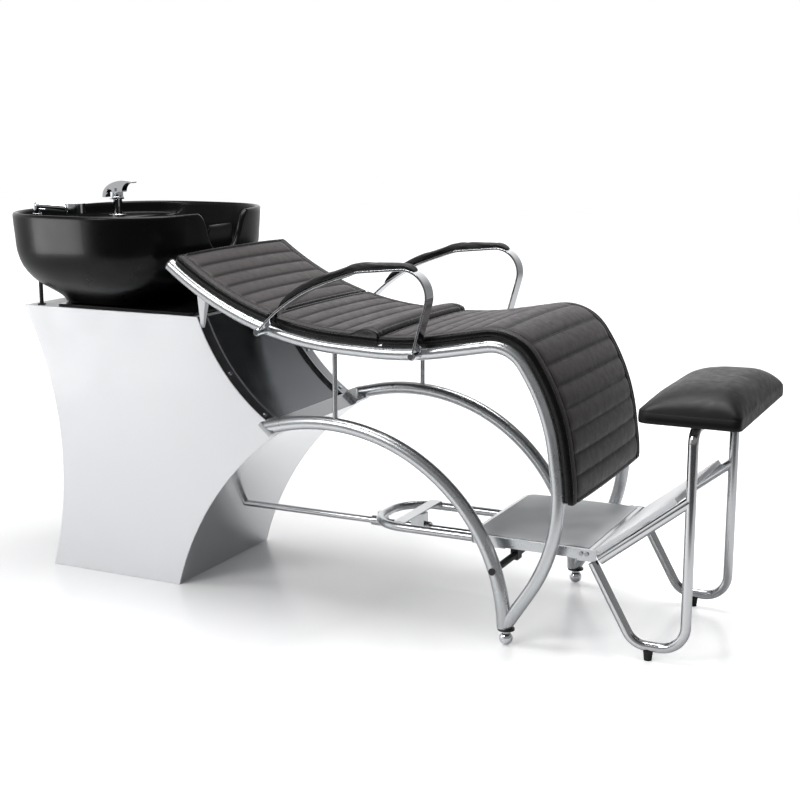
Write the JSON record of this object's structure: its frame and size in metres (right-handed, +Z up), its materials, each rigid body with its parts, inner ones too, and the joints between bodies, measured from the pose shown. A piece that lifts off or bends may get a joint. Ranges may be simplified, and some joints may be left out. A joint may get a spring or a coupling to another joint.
{
  "type": "hair washing bed",
  "caption": "Reclined shampoo bed on bent tubes with a black neck-notch basin on a cabinet, ribbed upholstery, armrests and a sliding footrest.",
  "frame": {"origin": "middle of the cabinet's footprint on the floor", "axes": "+X from the basin to the footrest, +Z up, near side -Y"},
  "size_m": [1.8529, 0.641, 0.9694],
  "materials": {
    "silver_paint": "satin silver lacquer",
    "light_silver_paint": "satin silver lacquer",
    "dark_steel_panel": "dark polished",
    "polished_steel": "polished",
    "chrome": "polished",
    "dark_steel": "black primer",
    "black_glaze": "gloss glaze",
    "black_plastic": "gloss",
    "matte_black_plastic": "matte",
    "white_plastic": "matte",
    "black_rubber": "matte",
    "grey_rubber": "fine texture",
    "leatherette": "soft grain, stitched",
    "black_leatherette": "soft grain",
    "plywood": "stained black",
    "zinc_steel": "zinc plated"
  },
  "bodies": {
    "bed": {"side_panel_near": "light_silver_paint", "side_panel_far": "light_silver_paint", "back_panel": "light_silver_paint", "top_plate": "light_silver_paint", "upper_front_panel": "dark_steel_panel", "lower_front_panel": "polished_steel", "edge_strips": "polished_steel", "trim_beads": "chrome", "nose_beam": "dark_steel", "base_frame": "dark_steel", "fasteners": "chrome", "bowl_base_plate": "black_plastic", "bowl": "black_glaze", "drain_flange": "chrome", "waste_trap": "white_plastic", "mixer_body": "chrome", "hose_guide": "chrome", "hose_grommet": "black_rubber", "seat_tube_near": "silver_paint", "seat_tube_far": "silver_paint", "arch_tube_near": "silver_paint", "arch_tube_far": "silver_paint", "arch_blocks": "silver_paint", "support_posts": "silver_paint", "tube_plugs": "matte_black_plastic", "cross_rod": "dark_steel", "ball_feet": "chrome", "seat_brackets": "light_silver_paint", "seat_boards": "plywood", "back_pad": "leatherette", "seat_pad": "leatherette", "leg_pad": "leatherette", "arm_bar_near": "chrome", "arm_bar_far": "chrome", "arm_pad_near": "black_leatherette", "arm_pad_far": "black_leatherette", "rail_rod": "polished_steel", "rod_collar": "zinc_steel", "glide_blocks": "matte_black_plastic"},
    "sled": {"rod_sleeve": "silver_paint", "sled_frame": "silver_paint", "cross_strap": "silver_paint", "tread_plate": "silver_paint", "tread_mat": "grey_rubber", "tread_bearers": "silver_paint", "lug_bolts": "zinc_steel", "kick_plate": "light_silver_paint", "leg_loop_near": "polished_steel", "leg_loop_far": "polished_steel", "slant_tubes": "polished_steel", "top_bar": "polished_steel", "rubber_feet": "black_rubber", "cushion_board": "plywood", "footrest_cushion": "black_leatherette"},
    "spray": {"hand_shower": "chrome", "spray_face": "matte_black_plastic", "shower_hose": "black_rubber"},
    "mixer_cap": {"mixer_cartridge": "chrome"},
    "mixer_handle": {"mixer_lever": "chrome"},
    "strainer": {"hair_strainer": "chrome"}
  },
  "joints": [
    {"name": "footrest_slide", "type": "slide", "parent": "bed", "child": "sled", "axis": [1, 0, 0], "range_m": [-0.1, 0]},
    {"name": "mixer_swivel", "type": "hinge", "parent": "bed", "child": "mixer_cap", "pos_m": [-0.205, 0.13, 0.94], "axis": [0, 0, 1], "range_deg": [-50, 50]},
    {"name": "mixer_lift", "type": "hinge", "parent": "mixer_cap", "child": "mixer_handle", "pos_m": [-0.205, 0.13, 0.9443], "axis": [0, -1, 0], "range_deg": [0, 20]},
    {"name": "spray_pull", "type": "slide", "parent": "bed", "child": "spray", "axis": [0, 0, 1], "range_m": [0, 0.45], "deforming": ["shower_hose"]},
    {"name": "strainer_lift", "type": "slide", "parent": "bed", "child": "strainer", "axis": [0, 0, 1], "range_m": [0, 0.05]}
  ]
}
